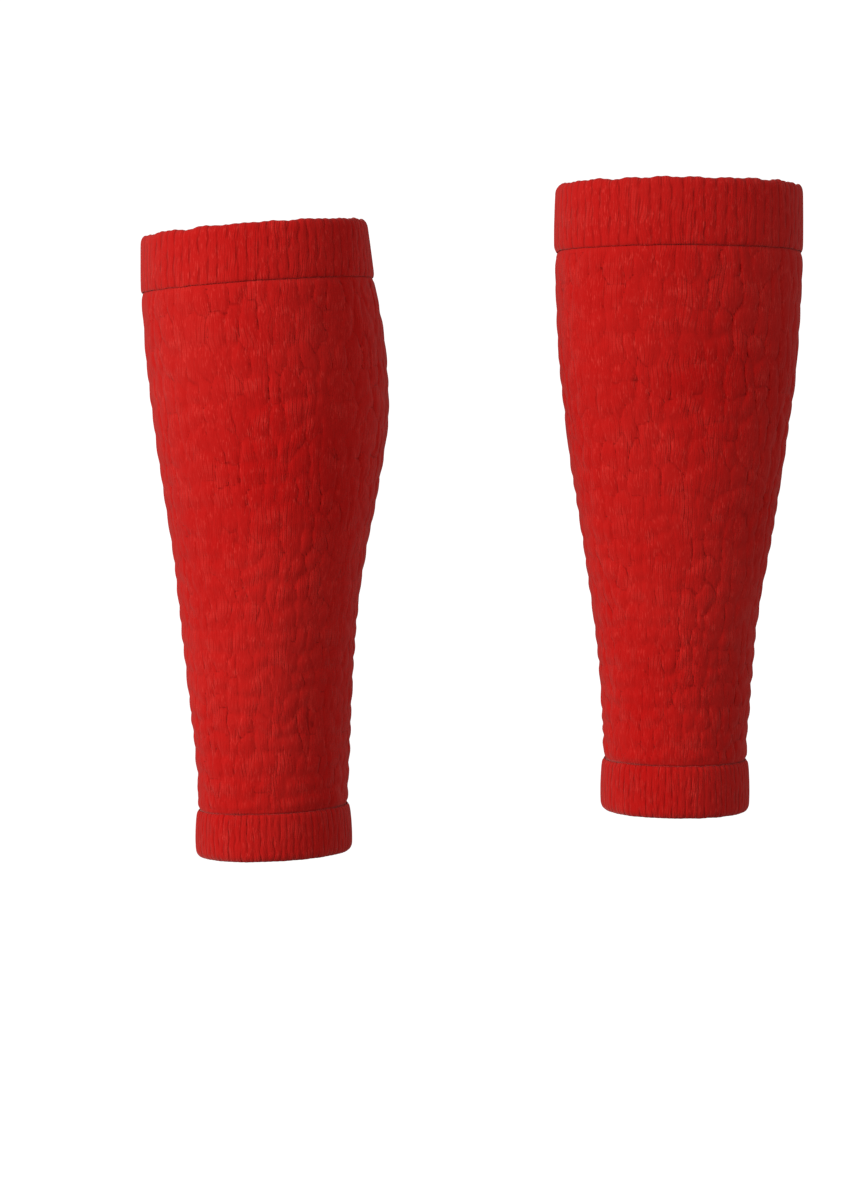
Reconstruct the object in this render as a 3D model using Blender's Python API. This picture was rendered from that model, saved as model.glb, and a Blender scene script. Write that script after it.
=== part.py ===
"""Pair of knitted leg warmers, hollow and open at both ends, filled out as they are when worn.

Each warmer is knitted in three zones, each its own object: a leg tube of puffed knit, and a top cuff and an ankle
cuff of rib folded double. Metres, +Z up, toes towards -Y. The origin is midway between the two top openings.
"""

import math
import random
from bisect import bisect
from collections import namedtuple

import bmesh
import bpy
from mathutils import Euler, Matrix, Vector

# Length down the leg, and the gap that a seam keeps between two zones
WORN_LENGTH = 0.2695
SEAM_GAP = 0.0003

# Puffed knit of the leg tube: puffs in upright columns, each row set half a column along, like bricks
PUFF_COLUMNS = 36
PUFF_ROWS = 18
PUFF_RISE = 0.0015
PUFF_UNEVEN = 0.0004
FABRIC = 0.0013
TUBE_INSIDE_RINGS = 9

# How far the creases swing about their rows and how unevenly they lie, in shares of a row's height and of half a
# column, and where along each puff its two ridge ends are
CREASE_ZIGZAG = 0.18
CREASE_SHIFT_DOWN = 0.064
CREASE_SHIFT_ASIDE = 0.32
RIDGE_SHIFT_ASIDE = 0.08
RIDGE_ENDS = (0.33, 0.67)

# Rib of the cuffs
RIBS = 72
RIB_DEPTH = 0.0008
CUFF_WALL = 0.0032
CUFF_PROUD = 0.0003

# The inside of every piece is plain, with this many points around
INSIDE_POINTS = 36

# Edges that turn by more than this many degrees stay crisp
CRISP_EDGE = 50

# Worn shape over the crests of the knit, from the top rim down to the ankle rim: half the width across the leg,
# and the reach from the leg's line forward to the shin and back to the calf
Section = namedtuple("Section", "down half_width shin calf")
LEG = (
    Section(0.0000, 0.0526, 0.0440, 0.0430),
    Section(0.0270, 0.0528, 0.0455, 0.0495),
    Section(0.0450, 0.0526, 0.0445, 0.0565),
    Section(0.0660, 0.0518, 0.0424, 0.0605),
    Section(0.0840, 0.0504, 0.0408, 0.0612),
    Section(0.1000, 0.0483, 0.0392, 0.0582),
    Section(0.1180, 0.0460, 0.0376, 0.0530),
    Section(0.1350, 0.0433, 0.0362, 0.0474),
    Section(0.1520, 0.0407, 0.0354, 0.0433),
    Section(0.1700, 0.0379, 0.0349, 0.0404),
    Section(0.1950, 0.0344, 0.0342, 0.0385),
    Section(0.2200, 0.0321, 0.0331, 0.0366),
    Section(0.2450, 0.0310, 0.0327, 0.0350),
    Section(0.2695, 0.0312, 0.0333, 0.0349),
)

# A cuff's outline from its seam to its free rim and round to the inside: how far it lies short of the seam or of
# the rim, how far inside the rib crests, and whether the ribs show in it
Turn = namedtuple("Turn", "from_end short inset ribbed")
CUFF_OUTLINE = (
    Turn("seam", 0.0000, 0.0000, True),
    Turn("rim", 0.0034, 0.0000, True),
    Turn("rim", 0.0010, 0.0008, True),
    Turn("rim", 0.0000, 0.0019, True),
    Turn("rim", 0.0008, CUFF_WALL, False),
    Turn("seam", 0.0000, CUFF_WALL, False),
)

# Where each warmer's top opening is, how far its leg leans forward and sideways and turns its toes out, how far
# the front of its top rim dips below a square cut (all in degrees), and how tall its two cuffs are stretched
Worn = namedtuple("Worn", "side x z lean sway turn dip top_cuff ankle_cuff")
PAIR = (
    Worn("right", -0.0918, -0.0090, 2.6, 0.0, -42.0, 3.2, 0.0240, 0.0200),
    Worn("left", 0.0912, 0.0094, 3.0, 0.15, 0.0, 0.0, 0.0280, 0.0220),
)

RED_WOOL = (0.56, 0.016, 0.014, 1.0)


def leg_size(down, column):
    """One column of the leg table at any height, on a smooth curve through its rows."""
    downs = [row.down for row in LEG]
    sizes = [getattr(row, column) for row in LEG]
    last = len(LEG) - 1

    def slope(i):
        before, after = max(i - 1, 0), min(i + 1, last)
        return (sizes[after] - sizes[before]) / (downs[after] - downs[before])

    i = min(max(bisect(downs, down) - 1, 0), last - 1)
    span = downs[i + 1] - downs[i]
    t = (down - downs[i]) / span
    return (
        (2 * t**3 - 3 * t**2 + 1) * sizes[i]
        + (t**3 - 2 * t**2 + t) * span * slope(i)
        + (3 * t**2 - 2 * t**3) * sizes[i + 1]
        + (t**3 - t**2) * span * slope(i + 1)
    )


def skin_point(down, around, inset, worn):
    """A place `inset` under the knit's crests. `around` runs from 0 to 1 round the leg, with the shin at 0.75."""
    angle = 2 * math.pi * around
    across = leg_size(down, "half_width")
    reach = leg_size(down, "calf" if math.sin(angle) > 0 else "shin")
    outward = Vector((math.cos(angle) / across, math.sin(angle) / reach, 0)).normalized()
    place = Vector((across * math.cos(angle), reach * math.sin(angle), -down)) - inset * outward
    dip = math.radians(worn.dip) * (1 - down / WORN_LENGTH)
    place.z += place.y * math.tan(dip)
    return place


def plain_ring(bm, down, inset, worn):
    return [bm.verts.new(skin_point(down, i / INSIDE_POINTS, inset, worn)) for i in range(INSIDE_POINTS)]


def ribbed_ring(bm, down, inset, worn):
    """A ring with a point on each rib and one in each groove between ribs."""
    count = 2 * RIBS
    return [bm.verts.new(skin_point(down, i / count, inset + (i % 2) * RIB_DEPTH, worn)) for i in range(count)]


def join_rings(bm, fine, coarse):
    """Faces between two closed rings. The fine one has as many points as the coarse one, or an even multiple."""
    step = len(fine) // len(coarse)
    for i, here in enumerate(coarse):
        there = coarse[(i + 1) % len(coarse)]
        run = [fine[(i * step + k) % len(fine)] for k in range(step + 1)]
        if step == 1:
            bm.faces.new((run[0], run[1], there, here))
            continue
        for k in range(step):
            bm.faces.new((run[k], run[k + 1], here if k < step // 2 else there))
        bm.faces.new((here, run[step // 2], there))


def finished_mesh(bm, name):
    bmesh.ops.recalc_face_normals(bm, faces=bm.faces)
    mesh = bpy.data.meshes.new(name)
    bm.to_mesh(mesh)
    bm.free()
    mesh.shade_smooth()
    mesh.set_sharp_from_angle(angle=math.radians(CRISP_EDGE))
    return mesh


def cuff_mesh(name, seam, rim, worn):
    """A band of rib folded double, from its seam to its soft free rim, which may be above or below the seam."""
    bm = bmesh.new()
    up = 1 if rim > seam else -1
    ends = {"seam": (seam, up), "rim": (rim, -up)}
    rings = []
    for turn in CUFF_OUTLINE:
        end, inward = ends[turn.from_end]
        ring = ribbed_ring if turn.ribbed else plain_ring
        rings.append(ring(bm, end + inward * turn.short, turn.inset - CUFF_PROUD, worn))
    for ring, following in zip(rings, rings[1:] + rings[:1]):
        join_rings(bm, *sorted((ring, following), key=len, reverse=True))
    return finished_mesh(bm, name)


def crease_rings(bm, top, height, draw, worn):
    """Rings of points along the creases between rows, dipping under each puff and rising between two."""
    rings = []
    half_columns = 2 * PUFF_COLUMNS
    for row in range(PUFF_ROWS + 1):
        inner = 0 < row < PUFF_ROWS
        ring = []
        for k in range(half_columns):
            down, aside, depth = row, k, PUFF_RISE
            if inner:
                down += CREASE_ZIGZAG if (k - row) % 2 else -CREASE_ZIGZAG
                down += CREASE_SHIFT_DOWN * draw.uniform(-1, 1)
                aside += CREASE_SHIFT_ASIDE * draw.uniform(-1, 1)
                depth += PUFF_UNEVEN * draw.uniform(-0.5, 0.5)
            ring.append(bm.verts.new(skin_point(top + height * down, aside / half_columns, depth, worn)))
        rings.append(ring)
    return rings


def puffed_wall(bm, top, bottom, worn):
    """The outside of the leg tube: every puff is a hip roof over a six-sided crease. Returns its end rings."""
    draw = random.Random(worn.side)
    height = (bottom - top) / PUFF_ROWS
    creases = crease_rings(bm, top, height, draw, worn)
    half_columns = 2 * PUFF_COLUMNS
    for row in range(PUFF_ROWS):
        above, below = creases[row], creases[row + 1]
        for k in range(row % 2, half_columns, 2):
            left, right = (k - 1) % half_columns, (k + 1) % half_columns
            sunk = PUFF_UNEVEN * draw.uniform(0, 1)
            aside = k + RIDGE_SHIFT_ASIDE * draw.uniform(-1, 1)
            high, low = (
                bm.verts.new(skin_point(top + height * (row + share), aside / half_columns, sunk, worn))
                for share in RIDGE_ENDS
            )
            corners = (above[k], above[right], below[right], below[k], below[left], above[left])
            ridge_ends = (high, high, low, low, low, high)
            for i, corner in enumerate(corners):
                following = corners[(i + 1) % 6]
                end, next_end = ridge_ends[i], ridge_ends[(i + 1) % 6]
                bm.faces.new((corner, following, end))
                if next_end is not end:
                    bm.faces.new((following, next_end, end))
    return creases[0], creases[-1]


def tube_mesh(name, top, bottom, worn):
    bm = bmesh.new()
    outer_top, outer_bottom = puffed_wall(bm, top, bottom, worn)
    steps = TUBE_INSIDE_RINGS - 1
    inset = PUFF_RISE + FABRIC
    inside = [plain_ring(bm, top + (bottom - top) * i / steps, inset, worn) for i in range(TUBE_INSIDE_RINGS)]
    join_rings(bm, outer_top, inside[0])
    for ring, following in zip(inside, inside[1:]):
        join_rings(bm, ring, following)
    join_rings(bm, outer_bottom, inside[-1])
    return finished_mesh(bm, name)


def wool():
    material = bpy.data.materials.new("red_wool")
    material.use_nodes = True
    shader = material.node_tree.nodes["Principled BSDF"]
    shader.inputs["Base Color"].default_value = RED_WOOL
    shader.inputs["Roughness"].default_value = 0.92
    shader.inputs["Metallic"].default_value = 0.0
    return material


def leg_place(worn):
    """An empty at a warmer's top opening, along the leg that it's worn on."""
    place = bpy.data.objects.new(worn.side + "_leg", None)
    lean = Euler((math.radians(worn.lean), math.radians(worn.sway), 0)).to_matrix()
    turn = Matrix.Rotation(math.radians(worn.turn), 3, "Z")
    place.rotation_euler = (turn @ lean).to_euler()
    place.location = (worn.x, 0, worn.z)
    return place


for left_over in list(bpy.data.objects):
    bpy.data.objects.remove(left_over)

pair = bpy.data.collections.new("leg_warmers")
bpy.context.scene.collection.children.link(pair)

red_wool = wool()
half_gap = SEAM_GAP / 2
for worn in PAIR:
    place = leg_place(worn)
    pair.objects.link(place)
    top_seam = worn.top_cuff
    ankle_seam = WORN_LENGTH - worn.ankle_cuff
    meshes = (
        cuff_mesh(worn.side + "_top_cuff", top_seam - half_gap, 0, worn),
        tube_mesh(worn.side + "_leg_tube", top_seam + half_gap, ankle_seam - half_gap, worn),
        cuff_mesh(worn.side + "_ankle_cuff", ankle_seam + half_gap, WORN_LENGTH, worn),
    )
    for mesh in meshes:
        mesh.materials.append(red_wool)
        piece = bpy.data.objects.new(mesh.name, mesh)
        piece.parent = place
        pair.objects.link(piece)
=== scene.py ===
"""Dresses a pair of puffed-knit leg warmers: the leg tubes, their ribbed cuffs, and the studio that they hang in."""

import math
from collections import namedtuple

import bpy
import numpy as np
from mathutils import Euler, Matrix


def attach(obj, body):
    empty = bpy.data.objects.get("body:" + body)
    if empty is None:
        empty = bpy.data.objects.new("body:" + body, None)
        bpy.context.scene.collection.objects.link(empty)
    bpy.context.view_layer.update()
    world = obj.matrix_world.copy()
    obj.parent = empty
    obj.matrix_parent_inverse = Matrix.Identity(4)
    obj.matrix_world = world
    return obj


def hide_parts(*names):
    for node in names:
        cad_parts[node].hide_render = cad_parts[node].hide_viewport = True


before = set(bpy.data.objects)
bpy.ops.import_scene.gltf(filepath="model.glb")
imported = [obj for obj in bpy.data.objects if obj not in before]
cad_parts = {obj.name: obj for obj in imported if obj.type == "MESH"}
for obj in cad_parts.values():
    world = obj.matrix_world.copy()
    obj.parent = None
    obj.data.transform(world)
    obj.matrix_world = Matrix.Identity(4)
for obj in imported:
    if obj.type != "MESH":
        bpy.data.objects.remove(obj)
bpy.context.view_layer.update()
scene = bpy.context.scene
MM = 0.001


# Leg tubes. Each is one seamless tube of stretchy yarn in a blister stitch: rows of upright puffs, loosely placed
# and smaller towards the ankle, which draw the tube in to the shape of the leg. It is knitted from the top cuff down
# to the ankle cuff, and its ends tuck in under the cuffs' lips.

# The worn shape over the crests of the knit, in millimetres from the top rim down to the ankle rim: half the width
# across the leg, and the reach from the leg's line forward to the shin and back to the calf
Section = namedtuple("Section", "down half_width shin calf")
LEG = (
    Section(0.0, 52.6, 44.0, 43.0),
    Section(27.0, 52.8, 45.5, 49.5),
    Section(45.0, 52.6, 44.5, 56.5),
    Section(66.0, 51.8, 42.4, 60.5),
    Section(84.0, 50.4, 40.8, 61.2),
    Section(100.0, 48.3, 39.2, 58.2),
    Section(118.0, 46.0, 37.6, 53.0),
    Section(135.0, 43.3, 36.2, 47.4),
    Section(152.0, 40.7, 35.4, 43.3),
    Section(170.0, 37.9, 34.9, 40.4),
    Section(195.0, 34.4, 34.2, 38.5),
    Section(220.0, 32.1, 33.1, 36.6),
    Section(245.0, 31.0, 32.7, 35.0),
    Section(269.5, 31.2, 33.3, 34.9),
)
WORN_LENGTH = LEG[-1].down

# Where each warmer hangs, in millimetres and degrees: how far it leans forward and sideways and is turned out, how
# far its top rim dips at the front, how tall its cuffs are stretched, and the seed that its unevenness is drawn from
Worn = namedtuple("Worn", "side x z lean sway turn dip top_cuff ankle_cuff draw")
PAIR = (
    Worn("right", -91.8, -9.0, 2.6, 0.0, -42.0, 3.2, 24.0, 20.0, 11),
    Worn("left", 91.2, 9.4, 3.0, 0.15, 0.0, 0.0, 28.0, 22.0, 23),
)

# Gauge of the knit: wales round the leg, millimetres a course, and where each round begins, in turns
WALES = 144
COURSE = 0.95
BACK = 0.25

# Puffs: rows of them, which crowd towards the ankle, how many go round the calf, and how closely that number follows
# the leg's width. Their sizes and wandering are in shares of a column and of a row, their lift in shares of a puff.
PUFF_ROWS = 22
SPARE_ROWS = 2
ROWS_CROWD = 0.25
PUFFS_AROUND = 40
COUNT_FOLLOWS_WIDTH = 0.4
PUFF_HALF_WIDTH, PUFF_HALF_LENGTH = 0.58, 0.74
PUFF_SIZES = (0.88, 1.10)
PUFF_WANDER = (0.18, 0.16)
PUFF_LIFT = 0.45
CREST_LIFT = 0.8 * PUFF_LIFT
PUFF_SQUARENESS = 2.5
PUFF_STEEPNESS = 3

# Relief of the wall, in millimetres: a puff's depth and how far its crest swells past the worn shape, the pinch
# between rows, the creases, and the whole wall
PUFF_DEPTH = 0.66
PUFF_SWELL = 0.32
ROW_PINCH = 0.42
CREASE_DEPTH = 0.32
TUBE_WALL = 2.8

# The same relief in shares: the most that a puff's edge sinks, how much of its depth follows the leg's width, how
# much of the pinch fades towards the top and how narrow it is, how near in height two puffs are where they meet in a
# crease, and how crisp that is at a puff's end
MOST_SUNK = 1.2
DEPTH_FOLLOWS_WIDTH = 0.7
PINCH_FADES_UP = 0.6
PINCH_NARROWNESS = 2.4
CREASE_REACH = 0.60
END_CRISPNESS = 0.45

# Seams, in millimetres: the gap between two pieces, how much of the tube's end is drawn in, and how far at its top
# and at its foot, and how near a crease the place beside the seam counts as, which gives it a groove and a painted
# shade line
SEAM_GAP = 0.3
SEAM_PULL = 1.5
SEAM_TUCK = (0.75, 0.85)
SEAM_SHADE = 0.65

# What keeps a knit uneven. A swing has its amount, how many there are in a turn, and how many rows or millimetres
# each is long. Patches swing about a middle value, between the least and the most that they reach. Each swing is
# made of so many waves, spread to lie near -1 to 1 before its amount.
Swing = namedtuple("Swing", "amount across along")
COLUMN_SWINGS = (Swing(0.0046, 20, 2.4), Swing(0.0018, 50, 0.8))
ROW_SWINGS = (Swing(0.20, 12, 3.5), Swing(0.04, 60, 0.8))
WALL_SWINGS = (Swing(0.26, 5, 6.0), Swing(0.04, 9, 0.62))
Patches = namedtuple("Patches", "middle amount across along least most")
PUFF_FULLNESS = Patches(0.85, 0.30, 7, 5.0, 0.5, 1.1)
CREASE_CRISPNESS = Patches(0.65, 0.80, 34, 1.5, 0.05, 1.2)
SEAM_CRISPNESS = Patches(0.6, 0.5, 40, 1.0, 0.2, 1)
NOISE_WAVES = 14
NOISE_SPREAD = 8 / 7


def leg_size(down, column):
    """One column of the leg table at any heights, on a smooth curve through its rows."""
    downs = np.array([row.down for row in LEG])
    sizes = np.array([getattr(row, column) for row in LEG])
    last = len(LEG) - 1
    before, after = np.maximum(np.arange(last + 1) - 1, 0), np.minimum(np.arange(last + 1) + 1, last)
    slope = (sizes[after] - sizes[before]) / (downs[after] - downs[before])
    i = np.clip(np.searchsorted(downs, down, side="right") - 1, 0, last - 1)
    span = downs[i + 1] - downs[i]
    t = (down - downs[i]) / span
    return (
        (2 * t**3 - 3 * t**2 + 1) * sizes[i]
        + (t**3 - 2 * t**2 + t) * span * slope[i]
        + (3 * t**2 - 2 * t**3) * sizes[i + 1]
        + (t**3 - t**2) * span * slope[i + 1]
    )


def on_leg(down, around, inset, worn):
    """Places `inset` under the crests of the knit, `around` turns round the leg with the shin at 0.75, in metres."""
    angle = 2 * np.pi * around
    across = leg_size(down, "half_width")
    reach = np.where(np.sin(angle) > 0, leg_size(down, "calf"), leg_size(down, "shin"))
    out_x, out_y = np.cos(angle) / across, np.sin(angle) / reach
    size = np.hypot(out_x, out_y)
    x = across * np.cos(angle) - inset * out_x / size
    y = reach * np.sin(angle) - inset * out_y / size
    dip = math.radians(worn.dip) * (1 - down / WORN_LENGTH)
    places = np.stack([x, y, y * np.tan(dip) - down], axis=-1)
    lean = Euler((math.radians(worn.lean), math.radians(worn.sway), 0)).to_matrix()
    stand = np.array(Matrix.Rotation(math.radians(worn.turn), 3, "Z") @ lean)
    return (places @ stand.T + (worn.x, 0, worn.z)) * MM


def soft_noise(around, down, draw, across, along):
    """A smooth wandering value near -1 to 1 that closes round the leg, with `across` swings in a turn at most, each
    `along` rows or millimetres long."""
    value = np.zeros(np.broadcast(around, down).shape)
    for _ in range(NOISE_WAVES):
        turns = draw.integers(-across, across + 1)
        value += np.sin(2 * np.pi * (turns * around + draw.uniform(-1, 1) * down / along + draw.uniform()))
    return value * NOISE_SPREAD / NOISE_WAVES**0.5


def swinging(around, down, draw, swings):
    """The sum of several swings at each place."""
    return sum(swing.amount * soft_noise(around, down, draw, swing.across, swing.along) for swing in swings)


def patchy(around, down, draw, patches):
    """A value that differs softly from place to place."""
    noise = soft_noise(around, down, draw, patches.across, patches.along)
    return np.clip(patches.middle + patches.amount * noise, patches.least, patches.most)


def puff_tops(around, row, counts, draw):
    """How high the highest puff and the next one stand at each place, and how far to the highest one's side the
    place is, rather than to its end. The puffs are upright ovals, steep at their edges, `counts` of them in each
    row, and some lie over their neighbours."""
    most = counts.max()
    wander = draw.uniform(-1, 1, (len(counts), most, 2)) * PUFF_WANDER
    size = draw.uniform(*PUFF_SIZES, (len(counts), most))
    lift = draw.uniform(0, PUFF_LIFT, (len(counts), most))
    shift = draw.uniform(0, 1, len(counts))
    heights, aside = [], []
    for step_row in (-1, 0, 1):
        puff_row = np.clip(np.floor(row).astype(int) + step_row + SPARE_ROWS, 0, len(counts) - 1)
        row_middle = puff_row - SPARE_ROWS + 0.5
        count = counts[puff_row]
        column = around * count - shift[puff_row]
        for step_column in (-1, 0, 1):
            puff_column = np.floor(column + 0.5).astype(int) + step_column
            puff = (puff_row, puff_column % count)
            across = np.abs(column - (puff_column + wander[puff][..., 0])) / (PUFF_HALF_WIDTH * size[puff])
            along = np.abs(row - (row_middle + wander[puff][..., 1])) / (PUFF_HALF_LENGTH * size[puff])
            across, along = across**PUFF_SQUARENESS, along**PUFF_SQUARENESS
            from_middle = (across + along) ** (1 / PUFF_SQUARENESS)
            heights.append(lift[puff] + 1 - from_middle**PUFF_STEEPNESS)
            aside.append(across / (across + along + 1e-6))
    highest = np.argmax(heights, axis=0)[None]
    aside = np.take_along_axis(np.array(aside), highest, axis=0)[0]
    heights = np.sort(np.array(heights), axis=0)
    return heights[-1], heights[-2], aside


def puffs(around, row, counts, draw):
    """How far the puffed knit lies below its crests, in mm, how near a crease each place is, from 0 to 1, how
    sharply that crease is drawn, and how near the place is to the line between two rows."""
    bent = around + swinging(around, row, draw, COLUMN_SWINGS)
    bent_row = row + swinging(around, row, draw, ROW_SWINGS)
    highest, next_one, aside = puff_tops(bent, bent_row, counts, draw)
    fullness = patchy(around, row, draw, PUFF_FULLNESS)
    crisp = patchy(around, row, draw, CREASE_CRISPNESS) * fullness * (END_CRISPNESS + (1 - END_CRISPNESS) * aside)
    crease = np.clip(1 - (highest - next_one) / CREASE_REACH, 0, 1)
    sunk = PUFF_DEPTH * fullness * np.clip(CREST_LIFT + 1 - highest, 0, MOST_SUNK)
    sunk += CREASE_DEPTH * crisp * crease**2
    between_rows = np.abs(np.cos(np.pi * bent_row)) ** PINCH_NARROWNESS
    return sunk, crease, np.clip(crisp, 0, 1), between_rows


def knitted_shell(name, places, courses, crease, sharp):
    """A closed shell from closed rings of places, with its stitches counted in a UV map and its creases marked."""
    rings, points, _ = places.shape
    index = np.arange(rings * points).reshape(rings, points)
    below = np.roll(index, -1, axis=0)
    quads = np.stack([index, below, np.roll(below, -1, axis=1), np.roll(index, -1, axis=1)], axis=-1)
    mesh = bpy.data.meshes.new(name)
    mesh.from_pydata(places.reshape(-1, 3), [], quads.reshape(-1, 4).tolist())
    step = WALES / points
    u = np.arange(points) * step
    corner_u = np.broadcast_to(np.stack([u, u, u + step, u + step], axis=-1), (rings, points, 4))
    v = np.broadcast_to(courses[:, None], (rings, points))
    next_v = np.roll(v, -1, axis=0).copy()
    next_v[-1] = v[-1]
    corner_v = np.stack([v, next_v, next_v, v], axis=-1)
    layer = mesh.uv_layers.new(name="stitches")
    layer.uv.foreach_set("vector", np.stack([corner_u, corner_v], axis=-1).astype(np.float32).ravel())
    for label, values in {"crease": crease, "sharp": sharp}.items():
        mark = mesh.attributes.new(label, "FLOAT", "POINT")
        mark.data.foreach_set("value", values.astype(np.float32).ravel())
    mesh.shade_smooth()
    piece = bpy.data.objects.new(name, mesh)
    scene.collection.objects.link(piece)
    return piece


def new_group(name, inputs, outputs):
    """A shader node group with named inputs, given as name: (kind, default), and named outputs, name: kind."""
    group = bpy.data.node_groups.new(name, "ShaderNodeTree")
    for label, (kind, default) in inputs.items():
        socket = group.interface.new_socket(label, in_out="INPUT", socket_type="NodeSocket" + kind)
        if default is not None:
            socket.default_value = default
    for label, kind in outputs.items():
        group.interface.new_socket(label, in_out="OUTPUT", socket_type="NodeSocket" + kind)
    return group, group.nodes.new("NodeGroupInput"), group.nodes.new("NodeGroupOutput")


def put(tree, kind, values=None, **settings):
    """A new node with its settings. Each of `values` is a socket to link, or a number or colour to set."""
    node = tree.nodes.new("ShaderNode" + kind)
    for key, setting in settings.items():
        setattr(node, key, setting)
    for key, value in (values or {}).items():
        if isinstance(value, bpy.types.NodeSocket):
            tree.links.new(value, node.inputs[key])
        else:
            node.inputs[key].default_value = value
    return node


def work_out(tree, operation, *values):
    """The result of a Math node."""
    return put(tree, "Math", dict(enumerate(values)), operation=operation).outputs[0]


def between(tree, value, low, high, least=0.0, most=1.0):
    """`least` where a value is at `low` or beyond, `most` where it is at `high` or beyond, and evenly in between."""
    levels = {"Value": value, "From Min": low, "From Max": high, "To Min": least, "To Max": most}
    return put(tree, "MapRange", levels).outputs[0]


def stitch_noise(tree, stitches, frequency, **looks):
    """Noise drawn out along the wales, its frequency counted over wales and over courses."""
    place = put(tree, "Mapping", {"Vector": stitches, "Scale": (*frequency, 1.0)}).outputs[0]
    return put(tree, "TexNoise", {"Vector": place, "Scale": 1.0, **looks}).outputs[0]


def knit_stitches():
    """Upright chains of V stitches, counted in wales and courses: two slanting legs of yarn in each wale and a groove
    between wales, clear in some places and felted over in others."""
    group, inside, out = new_group(
        "knit_stitches",
        {
            "Stitches": ("Vector", None),
            "Slant": ("Float", 0.7),
            "Drift": ("Float", 2.4),
            "Course Relief": ("Float", 0.12),
        },
        {"Height": "Float"},
    )
    stitches = inside.outputs["Stitches"]
    split = put(group, "SeparateXYZ", {"Vector": stitches})
    aside = stitch_noise(group, stitches, (0.20, 0.07), Detail=1.0)
    drifted = work_out(group, "MULTIPLY_ADD", aside, inside.outputs["Drift"], split.outputs["X"])
    from_middle = work_out(group, "ABSOLUTE", work_out(group, "SUBTRACT", work_out(group, "FRACT", drifted), 0.5))
    fall = work_out(group, "MULTIPLY", from_middle, inside.outputs["Slant"])
    slanted = work_out(group, "SUBTRACT", split.outputs["Y"], fall)
    course = work_out(group, "SINE", work_out(group, "MULTIPLY", slanted, 2 * math.pi))
    leg = work_out(group, "SINE", work_out(group, "MULTIPLY", from_middle, 2 * math.pi))
    rounded = work_out(group, "MULTIPLY_ADD", course, inside.outputs["Course Relief"], 0.6)
    ridge = between(group, from_middle, 0.5, 0.2)
    stitch = work_out(group, "MULTIPLY_ADD", leg, rounded, ridge)
    clear = between(group, stitch_noise(group, stitches, (0.20, 0.09), Detail=2.0), 0.40, 0.64, least=0.10)
    group.links.new(work_out(group, "MULTIPLY", stitch, clear), out.inputs["Height"])
    return group


def wool_fuzz():
    """Loose fibres off the yarn, drawn out along the wales: a fine height, strands that stand up, and masks for a
    painted highlight on fibres that catch the light and for painted shade in the hollows between tufts."""
    group, inside, out = new_group(
        "wool_fuzz",
        {"Stitches": ("Vector", None), "Fineness": ("Float", 1400.0)},
        {"Height": "Float", "Strands": "Float", "Fibres": "Float", "Shade": "Float"},
    )
    stitches = inside.outputs["Stitches"]
    place = put(group, "TexCoord").outputs["Object"]
    fine = put(group, "TexNoise", {"Vector": place, "Scale": inside.outputs["Fineness"], "Detail": 3.0})
    strand = stitch_noise(group, stitches, (3.60, 0.27), Detail=2.0, Roughness=0.55, Distortion=0.5)
    tuft = stitch_noise(group, stitches, (1.15, 0.19), Detail=2.0, Distortion=0.7)
    clear = between(group, stitch_noise(group, stitches, (0.22, 0.08), Detail=2.0), 0.40, 0.62, least=0.20)
    lifted = work_out(group, "MULTIPLY", between(group, strand, 0.34, 0.64), clear)
    # Painted highlight mask: loose fibres that catch the light, which are also less rough.
    fibre_highlight = work_out(group, "MULTIPLY", between(group, strand, 0.56, 0.65), clear)
    group.links.new(fine.outputs[0], out.inputs["Height"])
    group.links.new(lifted, out.inputs["Strands"])
    group.links.new(fibre_highlight, out.inputs["Fibres"])
    # Painted shade mask: the hollows between tufts, which are also sunk in the bump.
    group.links.new(between(group, tuft, 0.44, 0.28), out.inputs["Shade"])
    return group


def mixed(tree, share, first, second):
    """A colour that runs from the first to the second. A Mix node's colour sockets are known by number alone."""
    return put(tree, "Mix", {"Factor": share, 6: first, 7: second}, data_type="RGBA").outputs[2]


def yarn_colour_with_painted_light():
    """Dyed yarn, slightly uneven over the garment, with painted shade in creases and hollows and a painted
    highlight where fibres and stitch crests catch the light.
    """
    group, inside, out = new_group(
        "yarn_colour_with_painted_light",
        {
            "Yarn": ("Color", (0.6, 0.01, 0.01, 1)),
            "Shade Red": ("Color", (0.3, 0.0, 0.0, 1)),
            "Pale Tone And Highlight": ("Color", (0.7, 0.03, 0.02, 1)),
            "Painted Shade": ("Float", 0.0),
            "Fibres": ("Float", 0.0),
        },
        {"Color": "Color"},
    )
    place = put(group, "TexCoord").outputs["Object"]
    cloud = put(group, "TexNoise", {"Vector": place, "Scale": 18.0, "Detail": 3.0}).outputs[0]
    patch = between(group, cloud, 0.3, 0.7, most=0.25)
    # Paler red in random patches is uneven dye; on stitch crests and fibres it is a painted highlight.
    pale = work_out(group, "MULTIPLY_ADD", inside.outputs["Fibres"], 0.85, patch)
    dyed = mixed(group, pale, inside.outputs["Yarn"], inside.outputs["Pale Tone And Highlight"])
    # Painted shade: the colour runs to the shade red in crease lines and tuft hollows.
    deep = mixed(group, inside.outputs["Painted Shade"], dyed, inside.outputs["Shade Red"])
    group.links.new(deep, out.inputs["Color"])
    return group


stitch_group, fuzz_group, colour_group = knit_stitches(), wool_fuzz(), yarn_colour_with_painted_light()
# Yarn red; the red of painted shade in creases; a paler red for uneven dye and painted highlights
YARN = (0.57, 0.0056, 0.0044, 1)
SHADE_RED = (0.24, 0.0008, 0.0007, 1)
PALE_YARN_AND_HIGHLIGHT = (0.74, 0.0330, 0.0250, 1)

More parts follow.
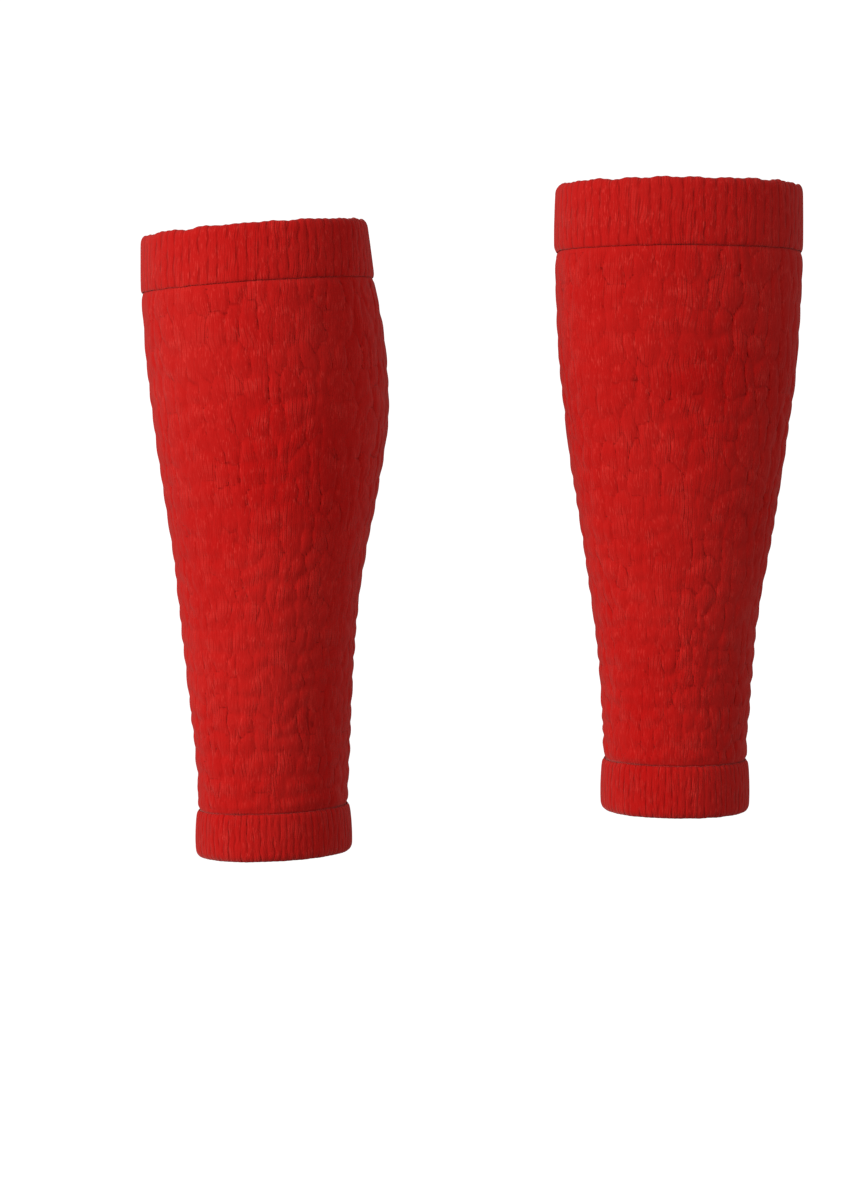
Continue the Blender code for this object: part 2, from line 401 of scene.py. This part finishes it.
# Where a crease's painted shade line is full, how high a stitch's crest takes a painted highlight and how strong it
# is next to loose fibres, how dark the painted shade in hollows between tufts is next to creases and how deep those
# hollows are in millimetres, and how rough the yarn is, with less of it on loose fibres
LINE_FULL = 0.96
CREST_FROM, CREST_TO = 0.9, 1.6
CREST_HIGHLIGHT = 0.50
HOLLOW_SHADE, HOLLOW_DEPTH = 0.25, 0.04
ROUGHNESS, FIBRE_GLOSS = 0.90, 0.08


def knit_material(name, stitch_depth, strand_depth, fuzz_depth, groove_depth, shade, line_start):
    """Matte dyed yarn with its stitches, strands and fuzz in relief, in millimetres, painted highlights on stitch
    crests and fibres, painted shade in hollows, and a fine groove and a painted shade line down the middle of each
    crease, from `line_start` on, which takes `shade` of the shade red."""
    material = bpy.data.materials.new(name)
    material.use_nodes = True
    tree = material.node_tree
    shader = tree.nodes["Principled BSDF"]
    stitches = put(tree, "UVMap", uv_map="stitches").outputs["UV"]
    relief = put(tree, "Group", {"Stitches": stitches}, node_tree=stitch_group)
    fuzz = put(tree, "Group", {"Stitches": stitches}, node_tree=fuzz_group)
    crease = put(tree, "Attribute", attribute_name="crease").outputs["Fac"]
    sharp = put(tree, "Attribute", attribute_name="sharp").outputs["Fac"]
    # Crease line: a groove in the bump and, with `shade`, a painted shade line in the colour.
    line = work_out(tree, "MULTIPLY", between(tree, crease, line_start, LINE_FULL), sharp)
    painted_line_shade = work_out(tree, "MULTIPLY", line, shade)
    # Painted highlight on stitch crests.
    crest = between(tree, relief.outputs["Height"], CREST_FROM, CREST_TO)
    colour = put(
        tree,
        "Group",
        {
            "Yarn": YARN,
            "Shade Red": SHADE_RED,
            "Pale Tone And Highlight": PALE_YARN_AND_HIGHLIGHT,
            # Painted shade from crease lines and tuft hollows; painted highlight from fibres and stitch crests.
            "Painted Shade": work_out(tree, "MULTIPLY_ADD", fuzz.outputs["Shade"], HOLLOW_SHADE * shade, painted_line_shade),
            "Fibres": work_out(tree, "MULTIPLY_ADD", crest, CREST_HIGHLIGHT, fuzz.outputs["Fibres"]),
        },
        node_tree=colour_group,
    )
    tree.links.new(colour.outputs["Color"], shader.inputs["Base Color"])
    height = work_out(tree, "MULTIPLY", fuzz.outputs["Height"], fuzz_depth * MM)
    for source, depth in (
        (relief.outputs["Height"], stitch_depth),
        (fuzz.outputs["Strands"], strand_depth),
        (fuzz.outputs["Shade"], -HOLLOW_DEPTH),
        (line, -groove_depth),
    ):
        height = work_out(tree, "MULTIPLY_ADD", source, depth * MM, height)
    bump = put(tree, "Bump", {"Height": height, "Strength": 1.0, "Distance": 1.0})
    tree.links.new(bump.outputs["Normal"], shader.inputs["Normal"])
    rough = work_out(tree, "MULTIPLY_ADD", fuzz.outputs["Fibres"], -FIBRE_GLOSS, ROUGHNESS)
    tree.links.new(rough, shader.inputs["Roughness"])
    shader.inputs["Specular IOR Level"].default_value = 0.06
    shader.inputs["Sheen Weight"].default_value = 0.36
    shader.inputs["Sheen Roughness"].default_value = 0.46
    shader.inputs["Sheen Tint"].default_value = (1.0, 0.50, 0.45, 1)
    return material


puffed_knit = knit_material(
    "puffed_knit",
    stitch_depth=0.10, strand_depth=0.03, fuzz_depth=0.02, groove_depth=0.18, shade=0.66, line_start=0.60,
)

# The tube's mesh: points in a ring, and rings up the wall, up the inside and across each end
TUBE_POINTS, TUBE_RINGS, TUBE_INSIDE_RINGS, TUBE_END_RINGS = 480, 192, 10, 3


def puff_counts(top, bottom):
    """How many puffs go round the leg in each row, and in the spare rows past both ends."""
    row_middles = np.arange(PUFF_ROWS + 2 * SPARE_ROWS) - SPARE_ROWS + 0.5
    downs = top + (bottom - top) * row_middles / PUFF_ROWS
    widths = leg_size(np.clip(downs, top, bottom), "half_width")
    return np.round(PUFFS_AROUND * (widths / widths.max()) ** COUNT_FOLLOWS_WIDTH).astype(int)


def puffed_wall(around, down, top, bottom, draw):
    """The tube's outside: how far it lies under the crests, how near a crease each place is, and how sharply that is
    drawn. Its ends are drawn in under the cuffs' lips, with a crease along each seam that takes a groove and a
    painted shade line."""
    share_down = (down - top) / (bottom - top)
    row = PUFF_ROWS * share_down * (1 - ROWS_CROWD * (1 - share_down)) + 0 * around
    sunk, crease, sharp, between_rows = puffs(around + 0 * down, row, puff_counts(top, bottom), draw)
    width = leg_size(down, "half_width") / LEG[0].half_width
    sunk = sunk * (1 - DEPTH_FOLLOWS_WIDTH + DEPTH_FOLLOWS_WIDTH * width)
    sunk += ROW_PINCH * (1 - PINCH_FADES_UP + PINCH_FADES_UP * share_down) * between_rows
    wave = swinging(around, row, draw, WALL_SWINGS)
    from_end = np.minimum(down - top, bottom - down) + 0 * around
    pulled = np.exp(-((from_end / SEAM_PULL) ** 2))
    tucked = np.where(share_down < 0.5, *SEAM_TUCK)
    inset = (sunk - wave - PUFF_SWELL) * (1 - pulled) + tucked * pulled
    # The seam's crease mark gives a groove and a painted shade line along the tube's ends.
    at_seam = np.clip(1 - from_end / SEAM_PULL, 0, SEAM_SHADE)
    sharp = np.where(at_seam > 0, patchy(around, 0 * row, draw, SEAM_CRISPNESS), sharp)
    crease = np.maximum(crease * (at_seam == 0), at_seam)
    return inset, crease, sharp


def tube_shell(worn):
    """The puffed wall outside, plain inside, closed by a narrow face at each end."""
    draw = np.random.default_rng(worn.draw)
    top, bottom = worn.top_cuff + SEAM_GAP / 2, WORN_LENGTH - worn.ankle_cuff - SEAM_GAP / 2
    around = (BACK + np.arange(TUBE_POINTS) / TUBE_POINTS)[None]
    down = np.linspace(top, bottom, TUBE_RINGS)[:, None]
    inset, crease, sharp = puffed_wall(around, down, top, bottom, draw)
    inside_down = np.linspace(bottom, top, TUBE_INSIDE_RINGS)[:, None]
    share = np.linspace(0, 1, TUBE_END_RINGS + 2)[1:-1, None]
    foot = inset[-1:] + (TUBE_WALL - inset[-1:]) * share
    head = inset[:1] + (TUBE_WALL - inset[:1]) * share[::-1]
    downs = np.concatenate([down + 0 * around, bottom + 0 * foot, inside_down + 0 * around, top + 0 * head])
    insets = np.concatenate([inset, foot, TUBE_WALL + 0 * (inside_down + around), head])
    marks = np.zeros((2, *insets.shape))
    marks[:, :TUBE_RINGS] = crease, sharp
    places = on_leg(downs, around + 0 * downs, insets, worn)
    return knitted_shell(worn.side + "_puffed_tube", places, downs[:, 0] / COURSE, *marks)


for worn in PAIR:
    tube = tube_shell(worn)
    tube.data.materials.append(puffed_knit)
    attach(tube, "root")
    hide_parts(worn.side + "_leg_tube")


# Top and ankle cuffs. Each is a band of one-by-one rib in the same yarn, knitted on twice its height, folded double
# and linked to the tube, so its free rim is a soft round fold and its seam a fine crease. It grips the leg.

# The rib, in millimetres: how deep its grooves are, how rounded its crests, and how much of it the inside shows
RIBS = 72
RIB_DEPTH = 0.20
RIB_SQUARENESS = 0.8
INSIDE_RIB = 0.5

# A cuff's section, in millimetres: its wall's thickness, and how far it stands proud of the worn shape. The lip over
# the tube's end is in pairs of how far from the seam and how far in from the rib crests. The fold at the rim is
# taller outside than inside.
CUFF_WALL = 3.2
CUFF_PROUD = 0.3
SEAM_LIP = (
    (0.0, 1.4), (-0.05, 0.66), (-0.46, 0.62), (-0.60, 0.50), (-0.50, 0.38), (-0.15, 0.26), (0.5, 0.13), (1.2, 0.04),
)
LIP_BACK = 2.6
WALL_START = 2.2
FOLD_OUTSIDE, FOLD_INSIDE, FOLD_MIDDLE = 3.4, 1.6, 2.0
INSIDE_START = 2.4

# The cuff's mesh: points in a ring, and rings along the wall, round the fold and along the inside
CUFF_POINTS, CUFF_WALL_RINGS, CUFF_FOLD_RINGS, CUFF_INSIDE_RINGS = 864, 28, 14, 8

# How the two cuffs differ: how far one bulges out and how much its rim ripples, in millimetres, and its flat size
Zone = namedtuple("Zone", "name bulge rim_ripple cut")
TOP_CUFF = Zone("top_cuff", 0.35, 0.28, (0.330, 0.026))
ANKLE_CUFF = Zone("ankle_cuff", 1.0, 0.05, (0.212, 0.021))
BULGE_SQUARENESS = 0.4

# Unevenness of the ribs, the wall, the lip and the rim, and how narrow a band of the wall follows the rim
RIB_SWINGS = (Swing(0.08, 60, 7.0),)
RIB_CLARITY = Patches(0.75, 0.45, 60, 7.0, 0.1, 1.1)
CUFF_SWINGS = (Swing(0.16, 6, 40.0),)
CALM_BY_SEAM = 1.6
LIP_PATCHES = Patches(0.5, 0.5, 30, 1.0, 0, 1)
LIP_RIPPLE = 0.40
RIM_SWINGS = (Swing(1.0, 26, 1.0),)
RIBS_AT_RIM = 0.8
RIM_NARROWNESS = 6

# How near a crease the cuff counts as by its seam, which gives the lip a groove and a painted shade line: right at
# it, at most, and how far that reaches in millimetres
LIP_SHADE, MOST_LIP_SHADE, LIP_SHADE_REACH = 0.8, 0.9, 1.2

rib_knit = knit_material(
    "rib_knit",
    stitch_depth=0.12, strand_depth=0.08, fuzz_depth=0.05, groove_depth=0.09, shade=0.42, line_start=0.82,
)


def cuff_outline(height):
    """How far from the seam, and how far in from the rib crests, each ring lies: over the seam and over the rim."""
    wall = [(t, 0) for t in np.linspace(WALL_START, height - FOLD_OUTSIDE, CUFF_WALL_RINGS)]
    fold = []
    for turn in np.linspace(0, np.pi, CUFF_FOLD_RINGS + 1)[1:]:
        outside = turn < np.pi / 2
        width, tall = (FOLD_MIDDLE, FOLD_OUTSIDE) if outside else (CUFF_WALL - FOLD_MIDDLE, FOLD_INSIDE)
        fold.append((height - tall * (1 - np.sin(turn)), FOLD_MIDDLE - width * np.cos(turn)))
    inside = [(t, CUFF_WALL) for t in np.linspace(height - INSIDE_START, 0, CUFF_INSIDE_RINGS)]
    return np.array([*SEAM_LIP, *wall, *fold, *inside, (0, LIP_BACK)])


def cuff_shell(worn, zone, seam, rim, draw):
    """A band of rib from its lip over the tube's end, out round the soft fold of its rim and back along its inside."""
    up = 1 if rim > seam else -1
    height = abs(rim - seam)
    outline = cuff_outline(height)[::up]
    around = (BACK + np.arange(CUFF_POINTS) / CUFF_POINTS)[None]
    from_seam, inset = outline[:, :1], outline[:, 1:]
    share = np.clip(from_seam / height, 0, 1)
    rib = 0.5 + 0.5 * np.cos(2 * np.pi * (RIBS * around + swinging(around, from_seam, draw, RIB_SWINGS)))
    clarity = patchy(around, from_seam, draw, RIB_CLARITY)
    groove = (1 - rib**RIB_SQUARENESS) * RIB_DEPTH * clarity
    lip = np.clip(-from_seam, 0, 1) * patchy(around, 0 * from_seam, draw, LIP_PATCHES)
    rim_swing = swinging(around, 0 * from_seam, draw, RIM_SWINGS) + RIBS_AT_RIM * (rib - 0.5)
    ripple = share**RIM_NARROWNESS * zone.rim_ripple * rim_swing + LIP_RIPPLE * lip
    wave = swinging(around, from_seam, draw, CUFF_SWINGS) * np.clip(from_seam / CALM_BY_SEAM, 0, 1)
    wave = wave + zone.bulge * np.sin(np.pi * share) ** BULGE_SQUARENESS
    on_inside = inset >= LIP_BACK
    insets = inset - CUFF_PROUD + np.where(on_inside, -INSIDE_RIB * groove, groove - wave)
    downs = seam + up * (from_seam + ripple)
    places = on_leg(downs, around + 0 * downs, insets, worn)
    courses = seam / COURSE + up * from_seam[:, 0] / COURSE
    # The seam's crease mark gives the lip a groove and a painted shade line.
    at_seam = np.clip(LIP_SHADE - from_seam / LIP_SHADE_REACH, 0, MOST_LIP_SHADE)
    crease = np.maximum(1 - rib, at_seam)
    return knitted_shell(f"{worn.side}_ribbed_{zone.name}", places, courses, crease, np.clip(clarity, 0, 1))


for worn in PAIR:
    draw = np.random.default_rng(worn.draw + 1)
    for zone, seam, rim in (
        (TOP_CUFF, worn.top_cuff - SEAM_GAP / 2, 0),
        (ANKLE_CUFF, WORN_LENGTH - worn.ankle_cuff + SEAM_GAP / 2, WORN_LENGTH),
    ):
        cuff = cuff_shell(worn, zone, seam, rim, draw)
        cuff.data.materials.append(rib_knit)
        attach(cuff, "root")
        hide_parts(worn.side + "_" + zone.name)


# Studio. A pale floor that sweeps up into a pale wall all round, one big soft light from the left, weak ones from
# the right and from behind, and the camera at the middle of the warmers' height.
EYE = (-0.0196, -1.2, -0.1686)
LENS = 83.7
FLOOR = -0.40
SWEEP_MIDDLE, SWEEP_RADIUS, SWEEP_CORNER, SWEEP_HEIGHT = 0.02, 3.2, 1.0, 3.0
SWEEP_SIDES, CORNER_POINTS = 64, 16
PAPER_GREY, PAPER_GLOW = 0.5, 0.90
AIM = (0, 0, -0.13)
DAYLIGHT = 0.17

camera = bpy.data.objects.new("camera", bpy.data.cameras.new("camera"))
camera.location = EYE
camera.rotation_euler = (math.radians(90), 0, 0)
camera.data.lens = LENS
scene.collection.objects.link(camera)
scene.camera = camera
scene.view_settings.view_transform = "Standard"


def sweep_mesh():
    """The floor's outline from its middle out and up the wall, turned all round."""
    corner = [
        (SWEEP_RADIUS - SWEEP_CORNER * (1 - math.sin(t)), FLOOR + SWEEP_CORNER * (1 - math.cos(t)))
        for t in np.linspace(0, math.pi / 2, CORNER_POINTS)
    ]
    outline = [(SWEEP_MIDDLE, FLOOR), *corner, (SWEEP_RADIUS, FLOOR + SWEEP_HEIGHT)]
    verts, faces = [], []
    for radius, height in outline:
        for i in range(SWEEP_SIDES):
            angle = 2 * math.pi * i / SWEEP_SIDES
            verts.append((radius * math.cos(angle), radius * math.sin(angle), height))
    for ring in range(len(outline) - 1):
        inner, outer = ring * SWEEP_SIDES, (ring + 1) * SWEEP_SIDES
        for i in range(SWEEP_SIDES):
            j = (i + 1) % SWEEP_SIDES
            faces.append((inner + i, outer + i, outer + j, inner + j))
    faces.append(tuple(range(SWEEP_SIDES)))
    mesh = bpy.data.meshes.new("sweep")
    mesh.from_pydata(verts, [], faces)
    mesh.shade_smooth()
    return mesh


paper = bpy.data.materials.new("pale_paper")
paper.use_nodes = True
paper_shader = paper.node_tree.nodes["Principled BSDF"]
paper_shader.inputs["Base Color"].default_value = (PAPER_GREY, PAPER_GREY, PAPER_GREY, 1)
paper_shader.inputs["Roughness"].default_value = 0.9
paper_shader.inputs["Emission Color"].default_value = (1, 1, 1, 1)
paper_shader.inputs["Emission Strength"].default_value = PAPER_GLOW
sweep = bpy.data.objects.new("sweep", sweep_mesh())
sweep.data.materials.append(paper)
sweep.visible_diffuse = False
sweep.visible_glossy = False
sweep.visible_shadow = False
scene.collection.objects.link(sweep)

Light = namedtuple("Light", "name place size power")
LIGHTS = (
    Light("key", (-2.0, -1.4, 0.5), 2.0, 59),
    Light("fill", (2.2, -1.0, 0.2), 1.6, 12),
    Light("back", (1.2, 2.4, 0.5), 2.0, 5),
)
for light in LIGHTS:
    lamp = bpy.data.lights.new(light.name, "AREA")
    lamp.shape = "DISK"
    lamp.size = light.size
    lamp.energy = light.power
    holder = bpy.data.objects.new(light.name, lamp)
    holder.location = light.place
    toward = np.subtract(AIM, light.place)
    flat = math.hypot(toward[0], toward[1])
    holder.rotation_euler = (math.atan2(flat, -toward[2]), 0, math.atan2(-toward[0], toward[1]))
    scene.collection.objects.link(holder)

world = bpy.data.worlds.new("studio")
world.use_nodes = True
world.node_tree.nodes["Background"].inputs["Color"].default_value = (1, 1, 1, 1)
world.node_tree.nodes["Background"].inputs["Strength"].default_value = DAYLIGHT
scene.world = world
